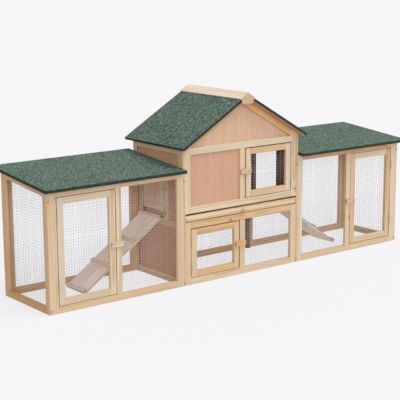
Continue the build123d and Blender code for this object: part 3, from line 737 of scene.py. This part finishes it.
def makeWireTree():
    # one welded sheet, its top level or sloping: upright wires, level wires and a bead at each weld
    tree = bpy.data.node_groups.new("weldedMesh", "GeometryNodeTree")
    sockets = (
        ("Width", "Float"), ("Near Height", "Float"), ("Far Height", "Float"), ("Pitch", "Float"),
        ("Wire", "Float"), ("Sink", "Float"), ("Bead", "Float"), ("Sides", "Int"), ("Turn", "Float"),
        ("Place", "Vector"), ("Material", "Material"),
    )
    for name, kind in sockets:
        tree.interface.new_socket(name=name, in_out="INPUT", socket_type="NodeSocket" + kind)
    tree.interface.new_socket(name="Geometry", in_out="OUTPUT", socket_type="NodeSocketGeometry")
    given = tree.nodes.new("NodeGroupInput").outputs
    here = addNode(tree, "GeometryNodeInputPosition")
    here = addNode(tree, "ShaderNodeSeparateXYZ", None, {0: here}, out=None).outputs

    # every size that follows from the inputs, each step from those above it
    sizes = {name: given[name] for name, kind in sockets}
    sizes.update(x=here["X"], z=here["Z"])
    for name, operation, *terms in (
        ("rise", "SUBTRACT", "Far Height", "Near Height"),
        ("slope", "DIVIDE", "rise", "Width"),
        ("topHere", "MULTIPLY_ADD", "x", "slope", "Near Height"),
        ("halfTop", "MULTIPLY", "topHere", 0.5),
        ("layer", "MULTIPLY", "Wire", "Sink"),
        ("layerBack", "MULTIPLY", "layer", -1.0),
        ("acrossPitches", "DIVIDE", "Width", "Pitch"),
        ("acrossGaps", "FLOOR", "acrossPitches"),
        ("acrossCount", "ADD", "acrossGaps", 1.0),
        ("acrossUsed", "MULTIPLY", "acrossGaps", "Pitch"),
        ("acrossSpare", "SUBTRACT", "Width", "acrossUsed"),
        ("acrossStart", "MULTIPLY", "acrossSpare", 0.5),
        ("risePitches", "DIVIDE", "Far Height", "Pitch"),
        ("riseGaps", "FLOOR", "risePitches"),
        ("riseCount", "ADD", "riseGaps", 1.0),
        ("riseUsed", "MULTIPLY", "riseGaps", "Pitch"),
        ("riseSpare", "SUBTRACT", "Far Height", "riseUsed"),
        ("riseStart", "MULTIPLY", "riseSpare", 0.5),
        ("above", "SUBTRACT", "z", "Near Height"),
        ("cut", "DIVIDE", "above", "slope"),
        ("cutStart", "MAXIMUM", "cut", 0.0),
        ("length", "SUBTRACT", "Width", "cutStart"),
        ("middle", "MULTIPLY_ADD", "length", 0.5, "cutStart"),
        ("halfWidth", "MULTIPLY", "Width", 0.5),
        ("halfRise", "MULTIPLY", "Far Height", 0.5),
        ("inside", "LESS_THAN", "z", "topHere"),
    ):
        terms = {place: sizes.get(term, term) for place, term in enumerate(terms)}
        sizes[name] = addNode(tree, "ShaderNodeMath", {"operation": operation}, terms)
    vectors = {}
    for name, *terms in (
        ("uprightStart", "acrossStart", 0.0, 0.0),
        ("uprightStep", "Pitch", 0.0, 0.0),
        ("uprightSize", "Wire", "Wire", "topHere"),
        ("uprightMove", 0.0, "layer", "halfTop"),
        ("levelStart", 0.0, 0.0, "riseStart"),
        ("levelStep", 0.0, 0.0, "Pitch"),
        ("levelSize", "Wire", "Wire", "length"),
        ("levelMove", "middle", "layerBack", 0.0),
        ("gridMiddle", "halfWidth", 0.0, "halfRise"),
        ("beadSize", "Bead", "Bead", "Bead"),
        ("turn", 0.0, 0.0, "Turn"),
    ):
        terms = {place: sizes.get(term, term) for place, term in enumerate(terms)}
        vectors[name] = addNode(tree, "ShaderNodeCombineXYZ", None, terms)

    rod = addNode(
        tree, "GeometryNodeMeshCylinder", {"fill_type": "NGON"},
        {"Vertices": given["Sides"], "Radius": 0.5, "Depth": 1.0},
    )
    rod = addNode(tree, "GeometryNodeSetShadeSmooth", None, {"Geometry": rod})
    bead = addNode(tree, "GeometryNodeMeshUVSphere", None, {"Segments": 4, "Rings": 2, "Radius": 0.5})
    bead = addNode(tree, "GeometryNodeSetShadeSmooth", None, {"Geometry": bead})

    uprights = addNode(
        tree, "GeometryNodeMeshLine", None,
        {
            "Count": sizes["acrossCount"], "Start Location": vectors["uprightStart"],
            "Offset": vectors["uprightStep"],
        },
    )
    uprights = addNode(
        tree, "GeometryNodeInstanceOnPoints", None,
        {"Points": uprights, "Instance": rod, "Scale": vectors["uprightSize"]},
    )
    uprights = addNode(
        tree, "GeometryNodeTranslateInstances", None,
        {"Instances": uprights, "Translation": vectors["uprightMove"], "Local Space": False},
    )
    levels = addNode(
        tree, "GeometryNodeMeshLine", None,
        {
            "Count": sizes["riseCount"], "Start Location": vectors["levelStart"],
            "Offset": vectors["levelStep"],
        },
    )
    quarter = (0.0, math.pi / 2, 0.0)
    levels = addNode(
        tree, "GeometryNodeInstanceOnPoints", None,
        {"Points": levels, "Instance": rod, "Rotation": quarter, "Scale": vectors["levelSize"]},
    )
    levels = addNode(
        tree, "GeometryNodeTranslateInstances", None,
        {"Instances": levels, "Translation": vectors["levelMove"], "Local Space": False},
    )
    grid = addNode(
        tree, "GeometryNodeMeshGrid", None,
        {
            "Size X": sizes["acrossUsed"], "Size Y": sizes["riseUsed"],
            "Vertices X": sizes["acrossCount"], "Vertices Y": sizes["riseCount"],
        },
    )
    grid = addNode(
        tree, "GeometryNodeTransform", None,
        {"Geometry": grid, "Translation": vectors["gridMiddle"], "Rotation": (math.pi / 2, 0.0, 0.0)},
    )
    beads = addNode(
        tree, "GeometryNodeInstanceOnPoints", None,
        {"Points": grid, "Selection": sizes["inside"], "Instance": bead, "Scale": vectors["beadSize"]},
    )
    together = tree.nodes.new("GeometryNodeJoinGeometry")
    for part in (uprights, levels, beads):
        tree.links.new(part, together.inputs[0])
    placed = addNode(
        tree, "GeometryNodeTransform", None,
        {"Geometry": together.outputs[0], "Translation": given["Place"], "Rotation": vectors["turn"]},
    )
    real = addNode(tree, "GeometryNodeRealizeInstances", None, {"Geometry": placed})
    painted = addNode(
        tree, "GeometryNodeSetMaterial", None, {"Geometry": real, "Material": given["Material"]})
    addNode(tree, "NodeGroupOutput", None, {0: painted}, out=None)
    return tree


def sheetSizes(points):
    # a CAD sheet as the tree's inputs: it is thin in Y, or in X where it closes an end
    low = [min(p[i] for p in points) for i in range(3)]
    high = [max(p[i] for p in points) for i in range(3)]
    run = 0 if high[1] - low[1] < high[0] - low[0] else 1
    near = max(p.z for p in points if p[run] - low[run] < 0.001) - low[2]
    far = max(p.z for p in points if high[run] - p[run] < 0.001) - low[2]
    thin = 1 - run
    place = [0.0, 0.0, low[2]]
    place[run] = low[run]
    place[thin] = (low[thin] + high[thin]) / 2
    return {
        "Width": high[run] - low[run], "Near Height": near, "Far Height": far,
        "Turn": run * math.pi / 2, "Place": place,
    }


def growMesh(tree, values):
    # one use of a tree, as a plain mesh
    holder = bpy.data.objects.new("holder", bpy.data.meshes.new("holder"))
    bpy.context.scene.collection.objects.link(holder)
    modifier = holder.modifiers.new("grow", "NODES")
    modifier.node_group = tree
    for socket in tree.interface.items_tree:
        if socket.in_out == "INPUT":
            modifier[socket.identifier] = values[socket.name]
    evaluated = holder.evaluated_get(bpy.context.evaluated_depsgraph_get())
    mesh = bpy.data.meshes.new_from_object(evaluated)
    bpy.data.objects.remove(holder)
    return mesh


def makeWires(node, tree, material):
    work = bmesh.new()
    for points, faces in readSolids(node):
        values = {name.title(): wireMesh[name] for name in ("pitch", "wire", "sink", "bead", "sides")}
        values["Material"] = material
        values.update(sheetSizes(points))
        mesh = growMesh(tree, values)
        work.from_mesh(mesh)
        bpy.data.meshes.remove(mesh)
    mesh = bpy.data.meshes.new(node + ".wires")
    work.to_mesh(mesh)
    work.free()
    mesh.materials.append(material)
    piece = bpy.data.objects.new(node + ".wires", mesh)
    bpy.context.scene.collection.objects.link(piece)
    settle(piece, node)
    print("wires:", node, len(mesh.polygons), "faces")


wireMaterial = makeWireMaterial()
wireTree = makeWireTree()
for node in sorted(cadNodes):
    if slotOf[node] == "wire_mesh":
        makeWires(node, wireTree, wireMaterial)
print("stage: welded wire mesh")


# ---- zinc-plated fittings ----

zincLook = {
    "name": "zincPlatedSteel", "shade": "#C4C3BC", "spangle": 0.004, "rubbing": 0.0024, "dentDepth": 0.0002,
}
# the frames' screws are painted dark grey-brown, as painted shade of their countersunk holes
countersinkShadeLook = {**zincLook, "name": "countersinkShadedZinc", "shade": "#7D7366"}


def makeZinc(look):
    # zinc-plated steel, pressed and tumbled: bright grey, finely mottled, with faint rubbing marks
    material, tree, shader = startMaterial(look["name"])
    place = addNode(tree, "ShaderNodeTexCoord", out="Object")
    spangle = addNode(
        tree, "ShaderNodeTexVoronoi", None, {"Vector": place, "Scale": 1 / look["spangle"]}, out="Color")
    rubbed = addNode(
        tree, "ShaderNodeTexNoise", None, {"Vector": place, "Scale": 1 / look["rubbing"], "Detail": 3.0})
    mottle = addNode(tree, "ShaderNodeSeparateColor", None, {0: spangle})
    shade = addNode(tree, "ShaderNodeMapRange", None, {0: mottle, 1: 0.0, 2: 1.0, 3: 0.86, 4: 1.06})
    zinc = addNode(
        tree, "ShaderNodeVectorMath", {"operation": "SCALE"},
        {0: toLinear(look["shade"])[:3], "Scale": shade},
    )
    tree.links.new(zinc, shader.inputs["Base Color"])
    shader.inputs["Metallic"].default_value = 1.0
    rough = addNode(tree, "ShaderNodeMapRange", None, {0: rubbed, 1: 0.3, 2: 0.7, 3: 0.32, 4: 0.5})
    tree.links.new(rough, shader.inputs["Roughness"])
    bump = addNode(
        tree, "ShaderNodeBump", None, {"Strength": 0.1, "Distance": look["dentDepth"], "Height": rubbed})
    tree.links.new(bump, shader.inputs["Normal"])
    return material


zinc = makeZinc(zincLook)
countersinkShaded = makeZinc(countersinkShadeLook)
for node in sorted(cadNodes):
    if slotOf[node] == "zinc_steel":
        cadNodes[node].material_slots[0].material = countersinkShaded if node == "frame_screws" else zinc
print("stage: fittings")
